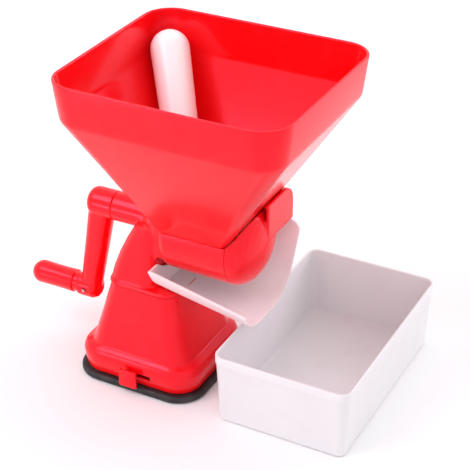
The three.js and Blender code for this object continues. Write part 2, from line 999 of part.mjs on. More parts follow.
const gripInnerEnd = () => crank.crossStart + grip.spindleHeld;

// Small cross pin through the front of the cross hub into the spindle's groove.
function retainingPin(grow = 0, longer = 0) {
  const x = crank.crossStart + pin.from;
  const front = -crank.crossRadius - pin.proud - longer;
  const back = -grip.spindle - pin.groove;
  const body = new THREE.CylinderGeometry(pin.radius + grow, pin.radius + grow, back - front, 12);
  return solid(body.translate(x, (front + back) / 2, gripHeight()));
}

function gripSpindle() {
  const start = crank.crossStart - grip.spindleIn;
  return rodX(start, gripInnerEnd(), grip.spindle, 16, gripHeight());
}

function crankGrip() {
  const end = crank.crossStart - GAP;
  const start = end - grip.length;
  const round = Array.from({ length: 6 }, (_, i) => {
    const angle = radians(90 * (1 - i / 5));
    return [start + grip.radius - grip.radius * Math.sin(angle), grip.radius * Math.cos(angle)];
  });
  const body = turnedX(
    [
      ...round,
      [end - grip.neckLength, grip.radius],
      [end - grip.neckLength + 1.4, grip.neck],
      [end, grip.neck],
      [end, 0],
    ],
    28,
    gripHeight(),
  );
  const hole = rodX(
    crank.crossStart - grip.spindleIn - 2 * GAP,
    end + 1,
    grip.spindle + GAP,
    16,
    gripHeight(),
  );
  return cut(body, hole);
}

function handleScrew() {
  const face = crank.end + crankScrew.sunk - GAP;
  return turnedX(
    [
      [face - crankScrew.head, 0],
      [face - crankScrew.head, crankScrew.headRadius - 1],
      [face - crankScrew.head + 1, crankScrew.headRadius],
      [face, crankScrew.headRadius],
      [face, crankScrew.radius],
      [face + crankScrew.length, crankScrew.radius],
      [face + crankScrew.length, 0],
    ],
    16,
  );
}

function driveShaft() {
  const plain = rodX(shaft.start, shaft.end, shaft.radius, shaft.segments);
  const screwHole = rodX(
    shaft.start - 1,
    crank.end + crankScrew.sunk + crankScrew.length + 1,
    crankScrew.radius + GAP,
    12,
  );
  return cut(plain, screwHole);
}

// ---------------------------------------------------------------- container

function containerShell() {
  const at = (grow, inset, level) => ({
    outline: roundRect(
      container.width + 2 * grow - 2 * inset,
      container.depth + 2 * grow - 2 * inset,
      container.corner + grow - inset,
      container.x,
      container.y,
    ),
    level,
  });
  const step = container.height - container.rim;
  const outer = loft(
    [
      at(-container.draft, 1, 0),
      at(-container.draft, 0, 1.5),
      at(-container.rimProud, 0, step - 0.6),
      at(0, 0, step + 0.6),
      at(0, 0, container.height),
    ],
    upright,
  );
  const inner = loft(
    [
      at(-container.draft, container.wall, container.floor),
      at(-container.rimProud, container.wall, step),
      at(-container.rimProud, container.wall, container.height + 1),
    ],
    upright,
  );
  return cut(outer, inner);
}

// ---------------------------------------------------------------- assembly

const group = new THREE.Group();

group.add(
  piece("suction_pad", suctionPad(), rubber()),
  piece("draw_stud", drawStud(), steel()),
  piece("suction_lever", suctionLever(), red()),
  piece("base_shell", baseShell(), red()),
  piece("housing", housing(), red()),
);
screwPlaces().forEach(([x, y], i) =>
  group.add(piece(`housing_screw_${i + 1}`, housingScrew(x, y), steel())),
);

const bushEnd = boss.start + boss.bushLength - GAP;
const sealStart = drum.bore - 5 + GAP;
group.add(
  piece("shaft_bush", ringX(boss.start + GAP, bushEnd, boss.bushRadius - GAP, shaft.radius + GAP), acetal()),
  piece("shaft_seal", ringX(sealStart, drum.bore, boss.bushRadius - GAP, shaft.radius + GAP), rubber()),
  piece("drive_shaft", driveShaft(), steel()),
  piece("paddle_rotor", paddleRotor(), acetal()),
  piece("strainer", strainerShell(), steel()),
  piece("end_cap", drumCap(), red()),
  piece(
    "end_bush",
    ringX(endCap.hubStart + GAP, shaft.end - 1, endCap.bushRadius - GAP, shaft.radius + GAP),
    acetal(),
  ),
  piece("hopper", hopperShell(), red()),
  piece("pusher", pusherRod(), white()),
  piece("chute", chuteShell(), white()),
  piece("container", containerShell(), white()),
  piece("crank_arm", crankArm(), red()),
  piece("crank_screw", handleScrew(), steel()),
  piece("grip_spindle", gripSpindle(), steel()),
  piece("retaining_pin", retainingPin(), steel()),
  piece("crank_grip", crankGrip(), red()),
);

export default group;
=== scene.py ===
import enum
import functools
import logging
import math
from dataclasses import dataclass
from typing import Callable, Iterable, Sequence

import bmesh
import bpy
from mathutils import Euler, Matrix, Vector


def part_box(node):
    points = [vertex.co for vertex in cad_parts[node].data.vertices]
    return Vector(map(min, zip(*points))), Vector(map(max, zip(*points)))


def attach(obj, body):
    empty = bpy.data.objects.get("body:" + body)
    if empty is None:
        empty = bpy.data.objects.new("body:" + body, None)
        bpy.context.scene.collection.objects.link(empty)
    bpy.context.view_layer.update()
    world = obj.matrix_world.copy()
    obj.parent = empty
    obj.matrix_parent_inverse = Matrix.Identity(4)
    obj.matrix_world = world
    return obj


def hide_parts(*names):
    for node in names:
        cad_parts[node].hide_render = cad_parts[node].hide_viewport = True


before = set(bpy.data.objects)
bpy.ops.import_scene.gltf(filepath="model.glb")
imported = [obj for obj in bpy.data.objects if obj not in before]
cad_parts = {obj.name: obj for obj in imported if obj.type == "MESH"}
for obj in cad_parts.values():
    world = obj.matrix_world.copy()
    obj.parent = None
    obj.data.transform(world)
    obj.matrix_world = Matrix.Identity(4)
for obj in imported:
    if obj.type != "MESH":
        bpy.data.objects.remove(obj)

MM = 0.001
log = logging.getLogger("food_mill")

Colour = tuple[float, float, float]
Point = tuple[float, float, float]


class Body(enum.Enum):
    """Moving bodies of the mill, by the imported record's names."""

    STAND = "stand"
    LEVER = "lever"
    CRANK = "crank"
    GRIP = "grip"
    CAP = "cap"
    FUNNEL = "funnel"
    PUSHER = "pusher_rod"
    SCOOP = "scoop"
    TRAY = "tray"


class Slot(enum.Enum):
    """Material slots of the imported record."""

    RED = "red_shell"
    WHITE = "white_plastic"
    RUBBER = "rubber"
    STEEL = "steel"
    INNER = "inner_plastic"


class Turn(enum.Enum):
    """Direction of a turned piece's axis."""

    ALONG_X = "x"
    UPRIGHT = "z"


# ---------------------------------------------------------------- finishes


class Graph:
    """A material's node tree with short calls for adding and linking nodes."""

    def __init__(self, name: str) -> None:
        """Makes an empty material of the given name with a Principled shader."""
        self.material = bpy.data.materials.new(name)
        self.material.use_nodes = True
        self.tree = self.material.node_tree
        self.shader = next(n for n in self.tree.nodes if n.type == "BSDF_PRINCIPLED")
        self.place = self.add("ShaderNodeTexCoord").outputs["Object"]

    def add(self, kind: str, **values: object) -> bpy.types.Node:
        """Adds a node.

        Args:
            kind: the node's Blender type.
            values: inputs by name, with spaces as underscores.

        Returns:
            The new node.
        """
        node = self.tree.nodes.new(kind)
        for key, value in values.items():
            node.inputs[key.replace("_", " ")].default_value = value
        return node

    def link(self, source: bpy.types.NodeSocket, target: bpy.types.NodeSocket) -> None:
        """Links an output to an input."""
        self.tree.links.new(source, target)

    def noise(self, scale: float, detail: float, stretch: Point = (1, 1, 1)) -> bpy.types.NodeSocket:
        """Adds a noise pattern on object coordinates.

        Args:
            scale: pattern's fineness, in cycles per metre.
            detail: number of finer layers.
            stretch: scale along each axis, for brushed or flowing marks.

        Returns:
            The pattern's value, from 0 to 1.
        """
        mapping = self.add("ShaderNodeMapping", Scale=stretch)
        self.link(self.place, mapping.inputs["Vector"])
        texture = self.add("ShaderNodeTexNoise", Scale=scale, Detail=detail)
        self.link(mapping.outputs["Vector"], texture.inputs["Vector"])
        return texture.outputs["Fac"]

    def spread(self, value: bpy.types.NodeSocket, low: float, high: float) -> bpy.types.NodeSocket:
        """Maps a pattern's middle range on to low to high."""
        node = self.add("ShaderNodeMapRange", From_Min=0.3, From_Max=0.7, To_Min=low, To_Max=high)
        self.link(value, node.inputs["Value"])
        return node.outputs["Result"]

    def blend(
        self, factor: bpy.types.NodeSocket, first: object, second: Colour
    ) -> bpy.types.NodeSocket:
        """Blends from a colour or a colour socket to a second colour by a factor."""
        node = self.add("ShaderNodeMix")
        node.data_type = "RGBA"
        self.link(factor, node.inputs[0])
        if isinstance(first, bpy.types.NodeSocket):
            self.link(first, node.inputs[6])
        else:
            node.inputs[6].default_value = (*first, 1)
        node.inputs[7].default_value = (*second, 1)
        return node.outputs[2]

    def bump(self, height: bpy.types.NodeSocket, strength: float, depth: float) -> None:
        """Raises the surface by a pattern.

        Args:
            height: the pattern.
            strength: share of the effect.
            depth: height in metres.
        """
        node = self.add("ShaderNodeBump", Strength=strength, Distance=depth)
        self.link(height, node.inputs["Height"])
        self.link(node.outputs["Normal"], self.shader.inputs["Normal"])


@dataclass(frozen=True)
class MouldedPlastic:
    """Injection-moulded plastic with flow marks, faint grain and rubbed patches."""

    name: str
    colour: Colour
    deep: Colour
    rubbed: Colour
    roughness: float = 0.14
    rubbed_roughness: float = 0.22
    coat: float = 0.12
    glow: float = 0.0
    glow_radius: Colour = (1.0, 0.2, 0.1)
    specular_tint: Colour = (1.0, 1.0, 1.0)
    specular: float = 0.5
    grain_depth: float = 0.00003

    def material(self) -> bpy.types.Material:
        """Returns the finish as a material."""
        g = Graph(self.name)
        flow = g.spread(g.noise(14, 3, (1, 1, 0.5)), 0, 1)
        wear = g.noise(60, 6)
        tone = g.blend(flow, self.colour, self.deep)
        scuff = g.spread(wear, -0.7, 0.5)
        clamp = g.add("ShaderNodeClamp")
        g.link(scuff, clamp.inputs["Value"])
        g.link(g.blend(clamp.outputs[0], tone, self.rubbed), g.shader.inputs["Base Color"])
        scratches = g.noise(900, 2, (1, 0.06, 1))
        rough = g.spread(wear, self.roughness, self.rubbed_roughness)
        fine = g.add("ShaderNodeMath")
        fine.operation = "MULTIPLY_ADD"
        fine.inputs[1].default_value = 0.07
        g.link(scratches, fine.inputs[0])
        g.link(rough, fine.inputs[2])
        g.link(fine.outputs[0], g.shader.inputs["Roughness"])
        g.bump(g.noise(110, 3), 0.4, self.grain_depth)
        s = g.shader.inputs
        s["Coat Weight"].default_value = self.coat
        s["Coat Roughness"].default_value = 0.05
        s["Specular Tint"].default_value = (*self.specular_tint, 1)
        s["Specular IOR Level"].default_value = self.specular
        s["Coat Tint"].default_value = (1, 1, 1, 1)
        s["Subsurface Weight"].default_value = self.glow
        s["Subsurface Radius"].default_value = self.glow_radius
        s["Subsurface Scale"].default_value = 0.004
        return g.material


@dataclass(frozen=True)
class Rubber:
    """Dull black rubber with a powdery grain and lighter, dusty patches."""

    name: str = "foot_rubber"
    colour: Colour = (0.012, 0.010, 0.011)
    dusty: Colour = (0.045, 0.038, 0.040)

    def material(self) -> bpy.types.Material:
        """Returns the finish as a material."""
        g = Graph(self.name)
        dust = g.spread(g.noise(70, 8), -0.4, 0.8)
        g.link(g.blend(dust, self.colour, self.dusty), g.shader.inputs["Base Color"])
        g.link(g.spread(g.noise(240, 4), 0.42, 0.66), g.shader.inputs["Roughness"])
        g.bump(g.noise(1500, 3), 0.5, 0.00008)
        return g.material


@dataclass(frozen=True)
class Steel:
    """Drawn or turned steel with fine lines along one axis."""

    name: str
    lines: Point
    colour: Colour = (0.60, 0.60, 0.61)
    dark: Colour = (0.42, 0.42, 0.44)

    def material(self) -> bpy.types.Material:
        """Returns the finish as a material."""
        g = Graph(self.name)
        lines = g.noise(1400, 3, self.lines)
        g.link(g.blend(g.spread(lines, 0, 1), self.colour, self.dark), g.shader.inputs["Base Color"])
        g.link(g.spread(g.noise(200, 5), 0.2, 0.38), g.shader.inputs["Roughness"])
        g.bump(lines, 0.3, 0.00002)
        g.shader.inputs["Metallic"].default_value = 1.0
        return g.material


RED = MouldedPlastic(
    "red_plastic",
    colour=(0.93, 0.004, 0.006),
    deep=(0.86, 0.003, 0.006),
    rubbed=(0.94, 0.008, 0.010),
    specular_tint=(1.0, 0.45, 0.75),
    specular=0.42,
    glow=0.15,
)
WHITE = MouldedPlastic(
    "white_plastic",
    colour=(0.80, 0.785, 0.80),
    deep=(0.77, 0.75, 0.77),
    rubbed=(0.75, 0.73, 0.745),
    roughness=0.28,
    rubbed_roughness=0.38,
    glow=0.08,
    glow_radius=(1.0, 0.8, 0.8),
)
PUSHER_WHITE = MouldedPlastic(
    "pusher_plastic",
    colour=(0.95, 0.94, 0.95),
    deep=(0.92, 0.91, 0.92),
    rubbed=(0.90, 0.89, 0.90),
    roughness=0.26,
    rubbed_roughness=0.36,
    glow=0.1,
    glow_radius=(1.0, 0.9, 0.9),
)
CHUTE_WHITE = MouldedPlastic(
    "chute_plastic",
    colour=(0.94, 0.80, 0.82),
    deep=(0.91, 0.76, 0.79),
    rubbed=(0.90, 0.75, 0.77),
    roughness=0.34,
    rubbed_roughness=0.46,
    glow=0.1,
    glow_radius=(1.0, 0.6, 0.6),
)
INNER = MouldedPlastic(
    "bearing_plastic",
    colour=(0.74, 0.70, 0.62),
    deep=(0.68, 0.64, 0.56),
    rubbed=(0.60, 0.56, 0.48),
    roughness=0.4,
    rubbed_roughness=0.5,
    coat=0.0,
)
RUBBER = Rubber()
TURNED = Steel("turned_steel", (0.05, 1, 1))
SHEET = Steel("strainer_sheet", (1, 0.1, 0.1), (0.66, 0.66, 0.66), (0.48, 0.48, 0.50))


class Finishes:
    """Keeps one material for each finish."""

    _made: dict[str, bpy.types.Material] = {}

    @classmethod
    def get(cls, finish: MouldedPlastic | Rubber | Steel) -> bpy.types.Material:
        """Returns a finish's material, made at its first use."""
        if finish.name not in cls._made:
            cls._made[finish.name] = finish.material()
        return cls._made[finish.name]


# ---------------------------------------------------------------- mesh tools


@dataclass(frozen=True)
class Box:
    """A node's box at rest, in millimetres."""

    low: Vector
    high: Vector

    @classmethod
    @functools.cache
    def of(cls, node: str) -> "Box":
        """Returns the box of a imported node."""
        low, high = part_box(node)
        return cls(Vector(low) / MM, Vector(high) / MM)

    @property
    def centre(self) -> Vector:
        """Middle of the box."""
        return (self.low + self.high) / 2

    @property
    def size(self) -> Vector:
        """Lengths of the box's sides."""
        return self.high - self.low


@dataclass(frozen=True)
class Level:
    """One upright level of a round-cornered shell, in millimetres."""

    z: float
    width: float
    depth: float
    corner: float
    x: float = 0.0
    y: float = 0.0

    def between(self, other: "Level", share: float) -> "Level":
        """Returns the level at a share of the way to another level."""
        pairs = zip(self.values(), other.values())
        return Level(*(a + (b - a) * share for a, b in pairs))

    def values(self) -> tuple[float, ...]:
        """Returns the sizes in the order of the fields."""
        return (self.z, self.width, self.depth, self.corner, self.x, self.y)

    def grown(self, offset: float, z: float | None = None) -> "Level":
        """Returns the level with each side moved outwards, and perhaps another height."""
        return Level(
            self.z if z is None else z,
            self.width + 2 * offset,
            self.depth + 2 * offset,
            max(self.corner + offset, 0.3),
            self.x,
            self.y,
        )

    def ring(self, steps: int) -> list[Vector]:
        """Returns the level's outline.

        Args:
            steps: number of straight pieces in each corner.

        Returns:
            Points in millimetres, anticlockwise from the +X side.
        """
        points = []
        for turn, (sx, sy) in enumerate(((1, 1), (-1, 1), (-1, -1), (1, -1))):
            centre = Vector(
                (
                    self.x + sx * (self.width / 2 - self.corner),
                    self.y + sy * (self.depth / 2 - self.corner),
                    self.z,
                )
            )
            for i in range(steps + 1):
                angle = math.radians(90 * (turn + i / steps))
                points.append(centre + self.corner * Vector((math.cos(angle), math.sin(angle), 0)))
        return points


def eased(levels: Sequence[Level], reach: float, steps: int = 4) -> list[Level]:
    """Rounds the creases between levels.

    Args:
        levels: the levels, the first and last of which stay.
        reach: length of each side that a crease's curve takes up, in millimetres.
        steps: number of pieces in each curve.

    Returns:
        The levels with each inner one replaced by a short curve.
    """

    def length(a: Level, b: Level) -> float:
        """Returns the distance between two levels along the skin."""
        return math.dist((a.z, a.width / 2, a.depth / 2), (b.z, b.width / 2, b.depth / 2))

    out = [levels[0]]
    for before, here, after in zip(levels, levels[1:], levels[2:]):
        start = here.between(before, min(0.45, reach / max(length(here, before), 1e-6)))
        end = here.between(after, min(0.45, reach / max(length(here, after), 1e-6)))
        for i in range(steps + 1):
            t = i / steps
            out.append(start.between(here, t).between(here.between(end, t), t))
    out.append(levels[-1])
    return out


def mesh_object(
    name: str, points: Iterable[Vector], faces: Iterable[Sequence[int]], merge: float = 0.001
) -> bpy.types.Object:
    """Makes a mesh object from points in millimetres.

    Args:
        name: the piece's name.
        points: corners in millimetres.
        faces: corner numbers of each face.
        merge: distance within which corners are joined, in millimetres.

    Returns:
        The object, in metres, smooth, with its faces outwards.
    """
    mesh = bpy.data.meshes.new(name)
    mesh.from_pydata([tuple(p * MM) for p in points], [], list(faces))
    bm = bmesh.new()
    bm.from_mesh(mesh)
    bmesh.ops.remove_doubles(bm, verts=bm.verts, dist=merge * MM)
    bmesh.ops.dissolve_degenerate(bm, edges=bm.edges, dist=merge * MM)
    bmesh.ops.recalc_face_normals(bm, faces=bm.faces)
    bm.to_mesh(mesh)
    bm.free()
    obj = bpy.data.objects.new(name, mesh)
    bpy.context.scene.collection.objects.link(obj)
    shade(obj)
    return obj


def shade(obj: bpy.types.Object, sharp: float = 35) -> None:
    """Shades an object smooth, except over edges sharper than an angle in degrees."""
    obj.data.shade_smooth()
    obj.data.set_sharp_from_angle(angle=math.radians(sharp))


def skin(rings: Sequence[Sequence[Vector]], closed: bool) -> tuple[list[Vector], list[list[int]]]:
    """Joins rings of equal length with faces.

    Args:
        rings: the rings, in order.
        closed: True where the last ring joins the first, False for caps at both ends.

    Returns:
        Points and faces.
    """
    count = len(rings[0])
    points = [p for ring in rings for p in ring]
    faces = []
    pairs = len(rings) if closed else len(rings) - 1
    for r in range(pairs):
        a, b = r * count, ((r + 1) % len(rings)) * count
        for i in range(count):
            j = (i + 1) % count
            faces.append([a + i, a + j, b + j, b + i])
    if not closed:
        faces.append(list(range(count))[::-1])
        faces.append([(len(rings) - 1) * count + i for i in range(count)])
    return points, faces


def turned(
    name: str, profile: Sequence[tuple[float, float]], turn: Turn, centre: Vector, segments: int = 72
) -> bpy.types.Object:
    """Makes a turned piece.

    Args:
        name: the piece's name.
        profile: places along the axis and radii, from the axis back to the axis.
        turn: direction of the axis.
        centre: a point of the axis, where places along it count from.
        segments: number of flats round the axis.

    Returns:
        The object.
    """
    points, faces = [], []
    count = len(profile)
    for k in range(segments):
        angle = 2 * math.pi * k / segments
        c, s = math.cos(angle), math.sin(angle)
        for along, radius in profile:
            local = (along, radius * c, radius * s)
            if turn is Turn.UPRIGHT:
                local = (radius * c, radius * s, along)
            points.append(centre + Vector(local))
    for k in range(segments):
        a, b = k * count, ((k + 1) % segments) * count
        for i in range(count - 1):
            faces.append([a + i, b + i, b + i + 1, a + i + 1])
    return mesh_object(name, points, faces)


def arc(radius: float, start: float, end: float, steps: int, at: float, up: float) -> list[tuple[float, float]]:
    """Returns points of an arc about (at, up), in degrees, both ends included."""
    return [
        (
            at + radius * math.cos(math.radians(start + (end - start) * i / steps)),
            up + radius * math.sin(math.radians(start + (end - start) * i / steps)),
        )
        for i in range(steps + 1)
    ]


def settle(obj: bpy.types.Object) -> bpy.types.Object:
    """Applies an object's modifiers to a plain mesh and removes them."""
    graph = bpy.context.evaluated_depsgraph_get()
    graph.update()
    mesh = bpy.data.meshes.new_from_object(obj.evaluated_get(graph), depsgraph=graph)
    obj.modifiers.clear()
    obj.data = mesh
    mesh.name = obj.name
    return obj


def cut_away(obj: bpy.types.Object, cutter: bpy.types.Object) -> None:
    """Takes one object's shape out of another and removes the first."""
    modifier = obj.modifiers.new("cut", "BOOLEAN")
    modifier.operation = "DIFFERENCE"
    modifier.solver = "EXACT"
    modifier.object = cutter
    settle(obj)
    bpy.data.objects.remove(cutter)


def soft_copy(
    name: str,
    node: str,
    voxel: float,
    rounds: int,
    keep: float,
    softness: Callable[[Vector], float] = lambda place: 1.0,
) -> bpy.types.Object:
    """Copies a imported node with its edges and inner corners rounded, as a mould leaves them.

    Args:
        name: the piece's name.
        node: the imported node.
        voxel: size of the remeshed faces, in millimetres.
        rounds: number of smoothing rounds.
        keep: share of the faces that are kept.
        softness: share of the rounding at a place in millimetres.

    Returns:
        The object.
    """
    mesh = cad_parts[node].data.copy()
    bm = bmesh.new()
    bm.from_mesh(mesh)
    bmesh.ops.remove_doubles(bm, verts=bm.verts, dist=1e-6)
    bm.to_mesh(mesh)
    bm.free()
    obj = bpy.data.objects.new(name, mesh)
    bpy.context.scene.collection.objects.link(obj)
    remesh = obj.modifiers.new("skin", "REMESH")
    remesh.mode = "VOXEL"
    remesh.voxel_size = voxel * MM * 1
    settle(obj)
    group = obj.vertex_groups.new(name="softness")
    for vertex in obj.data.vertices:
        group.add([vertex.index], softness(vertex.co / MM), "REPLACE")
    soft = obj.modifiers.new("soft", "SMOOTH")
    soft.vertex_group = group.name
    soft.factor = 0.5
    soft.iterations = rounds
    thin = obj.modifiers.new("thin", "DECIMATE")
    thin.ratio = keep
    settle(obj)
    shade(obj, 60)
    return obj


# ---------------------------------------------------------------- Geometry Nodes


class Recipe:
    """A Geometry Nodes tree with named inputs, run once to make a plain mesh."""

    def __init__(self, name: str) -> None:
        """Starts a tree that takes a geometry and a material."""
        self.name = name
        self.tree = bpy.data.node_groups.new(name, "GeometryNodeTree")
        face = self.tree.interface
        face.new_socket("Geometry", in_out="OUTPUT", socket_type="NodeSocketGeometry")
        face.new_socket("Geometry", in_out="INPUT", socket_type="NodeSocketGeometry")
        self.identifiers = {}
        self._kinds = {float: "NodeSocketFloat", int: "NodeSocketInt"}
        self.material_id = face.new_socket(
            "Material", in_out="INPUT", socket_type="NodeSocketMaterial"
        ).identifier
        self.values: dict[str, float | int] = {}
        self.source = self.tree.nodes.new("NodeGroupInput")
        self.target = self.tree.nodes.new("NodeGroupOutput")

    def size(self, name: str, value: float | int) -> bpy.types.NodeSocket:
        """Adds a named input for a size.

        Args:
            name: the input's name.
            value: the value that the piece is made with.

        Returns:
            The socket that carries the value in the tree.
        """
        socket = self.tree.interface.new_socket(
            name, in_out="INPUT", socket_type=self._kinds[type(value)]
        )
        self.identifiers[name] = socket.identifier
        self.values[name] = value
        return self.source.outputs[name]

    def add(self, kind: str, settings: dict[str, object] | None = None, **inputs: object) -> bpy.types.Node:
        """Adds a node.

        Args:
            kind: the node's Blender type.
            settings: the node's own properties.
            inputs: values or sockets by input name, with spaces as underscores.

        Returns:
            The new node.
        """
        node = self.tree.nodes.new(kind)
        for key, value in (settings or {}).items():
            setattr(node, key, value)
        for key, value in inputs.items():
            self.feed(node.inputs[key.replace("_", " ")], value)
        return node

    def feed(self, socket: bpy.types.NodeSocket, value: object) -> None:
        """Links a socket or sets a value on an input."""
        if isinstance(value, bpy.types.NodeSocket):
            self.tree.links.new(value, socket)
        else:
            socket.default_value = value

    def sum(self, operation: str, first: object, second: object, third: object = 0.0) -> bpy.types.NodeSocket:
        """Adds a Math node and returns its result."""
        node = self.tree.nodes.new("ShaderNodeMath")
        node.operation = operation
        for socket, value in zip(node.inputs, (first, second, third)):
            self.feed(socket, value)
        return node.outputs[0]

    def vector(self, x: object, y: object, z: object) -> bpy.types.NodeSocket:
        """Combines three values into a vector."""
        node = self.tree.nodes.new("ShaderNodeCombineXYZ")
        for socket, value in zip(node.inputs, (x, y, z)):
            self.feed(socket, value)
        return node.outputs[0]

    def join(self, *parts: bpy.types.NodeSocket) -> bpy.types.NodeSocket:
        """Joins geometries."""
        node = self.tree.nodes.new("GeometryNodeJoinGeometry")
        for part in parts:
            self.tree.links.new(part, node.inputs[0])
        return node.outputs[0]

    def run(self, geometry: bpy.types.NodeSocket, seed: bpy.types.Object, finish: object) -> bpy.types.Object:
        """Ends the tree and turns its result into a plain mesh.

        Args:
            geometry: the tree's last geometry.
            seed: object that the tree starts from, which takes the result.
            finish: the finish of the result.

        Returns:
            The seed object, now with the result as its mesh.
        """
        real = self.add("GeometryNodeRealizeInstances", Geometry=geometry)
        dress = self.add("GeometryNodeSetMaterial", Geometry=real.outputs[0])
        self.tree.links.new(self.source.outputs["Material"], dress.inputs["Material"])
        self.tree.links.new(dress.outputs[0], self.target.inputs[0])
        modifier = seed.modifiers.new(self.name, "NODES")
        modifier.node_group = self.tree
        modifier[self.material_id] = Finishes.get(finish)
        for name, value in self.values.items():
            modifier[self.identifiers[name]] = value
        settle(seed)
        return seed


def seed_points(name: str, places: Sequence[Vector]) -> bpy.types.Object:
    """Makes an object of loose points, in millimetres, for a recipe to start from."""
    mesh = bpy.data.meshes.new(name)
    mesh.from_pydata([tuple(p * MM) for p in places], [], [])
    obj = bpy.data.objects.new(name, mesh)
    bpy.context.scene.collection.objects.link(obj)
    return obj


def screws(name: str, nodes: Sequence[str], axis: Turn, head: float) -> bpy.types.Object:
    """Makes cross-head screws in the places of packed screws.

    Args:
        name: the piece's name.
        nodes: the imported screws, all alike, heads at their low ends.
        axis: direction of the shanks.
        head: height of the heads in millimetres.

    Returns:
        One object that holds all the screws.
    """
    boxes = [Box.of(node) for node in nodes]
    long = boxes[0].size.z if axis is Turn.UPRIGHT else boxes[0].size.x
    across = boxes[0].size.y
    places = []
    for box in boxes:
        place = box.centre.copy()
        if axis is Turn.UPRIGHT:
            place.z = box.low.z
        else:
            place.x = box.low.x
        places.append(place)
    r = Recipe(name + "_recipe")
    radius = r.size("Head Radius", across / 2 * MM)
    height = r.size("Head Height", head * MM)
    shank = r.size("Shank Radius", across / 2 * 0.53 * MM)
    length = r.size("Length", long * MM)
    pitch = r.size("Thread Pitch", 1.2 * MM)
    lift = r.vector(0.0, 0.0, r.sum("MULTIPLY", height, 0.5))
    blank = r.add(
        "GeometryNodeMeshCylinder", {"fill_type": "NGON"}, Vertices=32, Radius=radius, Depth=height
    )
    seat = r.add("GeometryNodeTransform", Geometry=blank.outputs[0], Translation=lift)
    cut = seat
    for turn, depth in ((0.0, 1.0), (math.pi / 2, 0.9)):
        deep = r.sum("MULTIPLY", height, depth)
        bar = r.add(
            "GeometryNodeMeshCube",
            Size=r.vector(r.sum("MULTIPLY", radius, 1.25), r.sum("MULTIPLY", radius, 0.24), deep),
        )
        arm = r.add("GeometryNodeTransform", Geometry=bar.outputs[0], Rotation=(0, 0, turn))
        body = cut.outputs[0]
        cut = r.add("GeometryNodeMeshBoolean", {"operation": "DIFFERENCE"}, Mesh_1=body)
        r.tree.links.new(arm.outputs[0], cut.inputs["Mesh 2"])
    clean = r.add("GeometryNodeMergeByDistance", Geometry=cut.outputs[0], Distance=1e-6)
    thread = r.add(
        "GeometryNodeMeshCylinder",
        {"fill_type": "NGON"},
        Vertices=20,
        Side_Segments=24,
        Radius=shank,
        Depth=r.sum("SUBTRACT", length, height),
    )
    shift = r.vector(0.0, 0.0, r.sum("MULTIPLY_ADD", r.sum("ADD", length, height), 0.5, 0.0))
    moved = r.add("GeometryNodeTransform", Geometry=thread.outputs[0], Translation=shift)
    spot = r.add("GeometryNodeInputPosition").outputs[0]
    parts = r.tree.nodes.new("ShaderNodeSeparateXYZ")
    r.tree.links.new(spot, parts.inputs[0])
    wave = r.sum("SINE", r.sum("MULTIPLY", r.sum("DIVIDE", parts.outputs[2], pitch), 2 * math.pi), 0.0)
    swell = r.sum("MULTIPLY_ADD", wave, 0.06, 0.94)
    pinch = r.vector(
        r.sum("MULTIPLY", parts.outputs[0], swell),
        r.sum("MULTIPLY", parts.outputs[1], swell),
        parts.outputs[2],
    )
    threaded = r.add("GeometryNodeSetPosition", Geometry=moved.outputs[0], Position=pinch)
    shape = r.join(clean.outputs[0], threaded.outputs[0])
    spin = (0.0, 0.0, 0.0) if axis is Turn.UPRIGHT else (0.0, math.pi / 2, 0.0)
    copies = r.add(
        "GeometryNodeInstanceOnPoints",
        Points=r.source.outputs["Geometry"],
        Instance=shape,
        Rotation=spin,
    )
    made = r.run(copies.outputs[0], seed_points(name, places), TURNED)
    shade(made, 30)
    return made


# ---------------------------------------------------------------- sub-assemblies


class Assembly:
    """A group of pieces that is built and dressed together."""

    def dress(
        self,
        obj: bpy.types.Object,
        finish: MouldedPlastic | Rubber | Steel,
        body: Body,
        slot: Slot,
        *nodes: str,
    ) -> None:
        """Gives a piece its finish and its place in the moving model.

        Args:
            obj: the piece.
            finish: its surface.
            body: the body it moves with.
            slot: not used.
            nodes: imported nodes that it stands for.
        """
        obj.data.materials.clear()
        obj.data.materials.append(Finishes.get(finish))
        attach(obj, body.value)
        if nodes:
            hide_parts(*nodes)
        log.info("%s: %d faces on %s", obj.name, len(obj.data.polygons), body.value)

    def keep(self, node: str, finish: MouldedPlastic | Rubber | Steel) -> None:
        """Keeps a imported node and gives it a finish."""
        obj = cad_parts[node]
        for place in obj.material_slots:
            place.material = Finishes.get(finish)
        log.info("%s: packed node kept", node)

    def build(self) -> None:
        """Builds every piece of the assembly."""
        raise NotImplementedError


